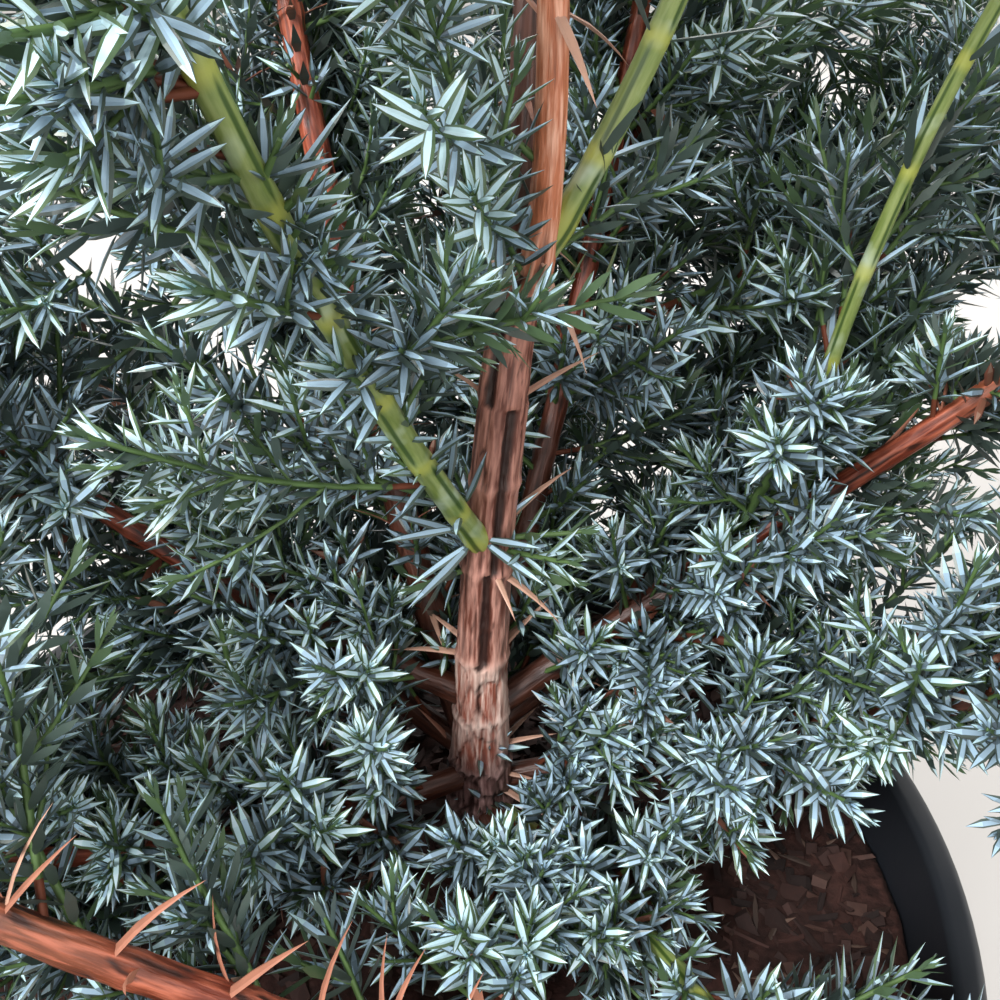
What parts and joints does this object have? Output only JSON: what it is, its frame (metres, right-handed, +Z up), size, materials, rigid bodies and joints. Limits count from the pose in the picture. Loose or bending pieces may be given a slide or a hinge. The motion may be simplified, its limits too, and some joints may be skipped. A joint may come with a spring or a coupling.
{
  "type": "potted juniper",
  "caption": "Young blue needle juniper with a leaning trunk, ascending boughs and plumes of sharp blue-green foliage, growing in a round black plastic nursery pot.",
  "frame": {"origin": "centre of the pot's flat underside, on the surface that the pot stands on", "axes": "+Z up along the pot's axis, -Y towards the viewer of the reference view, +X to that viewer's right"},
  "size_m": [0.2571, 0.2572, 0.417],
  "materials": {
    "pot_plastic": "smooth, slightly shiny black plastic",
    "compost": "dark bark compost with chips",
    "bark": "reddish brown, fissured and flaking",
    "green_stem": "young grooved green bark",
    "needles": "blue-green needles with a waxy bloom"
  },
  "bodies": {
    "root": {"pot": "pot_plastic", "compost": "compost", "trunk": "bark", "bough_right": "bark", "bough_back_right": "bark", "stem_left": "bark", "stem_dark": "bark", "leader_left": "green_stem", "leader_right": "green_stem", "leader_far_right": "green_stem", "bough_front_left_foot": "bark", "bough_front_left": "bark", "bough_front": "green_stem", "bough_left_low": "bark", "bough_left": "bark", "bough_back": "bark", "bough_back_left": "bark", "bough_right_back": "bark", "bough_right_front": "bark", "bough_high_right": "bark", "bough_high_left": "bark", "bough_high_back": "bark", "spray_right_low": "needles", "spray_right_mid": "needles", "spray_right_up": "needles", "tuft_right": "needles", "tuft_far_right": "needles", "tuft_back_right": "needles", "spray_back_right_low": "needles", "spray_back_right_high": "needles", "spray_stem_left_front": "needles", "spray_stem_left_out": "needles", "spray_stem_left_back": "needles", "tuft_stem_left": "needles", "tuft_dark": "needles", "spray_leader_left": "needles", "tuft_leader_left": "needles", "tuft_leader_right": "needles", "tuft_front_left": "needles", "spray_front": "needles", "tuft_front": "needles", "spray_left_low": "needles", "tuft_left_low": "needles", "spray_right_front": "needles", "tuft_right_front": "needles", "spray_left": "needles", "tuft_left": "needles", "spray_back": "needles", "tuft_back": "needles", "spray_back_left": "needles", "tuft_back_left": "needles", "spray_right_back": "needles", "tuft_right_back": "needles", "tuft_high_right": "needles", "tuft_high_left": "needles", "tuft_high_back": "needles", "spray_high_front": "needles", "spray_high_rear": "needles", "crown_top": "needles"}
  },
  "joints": []
}
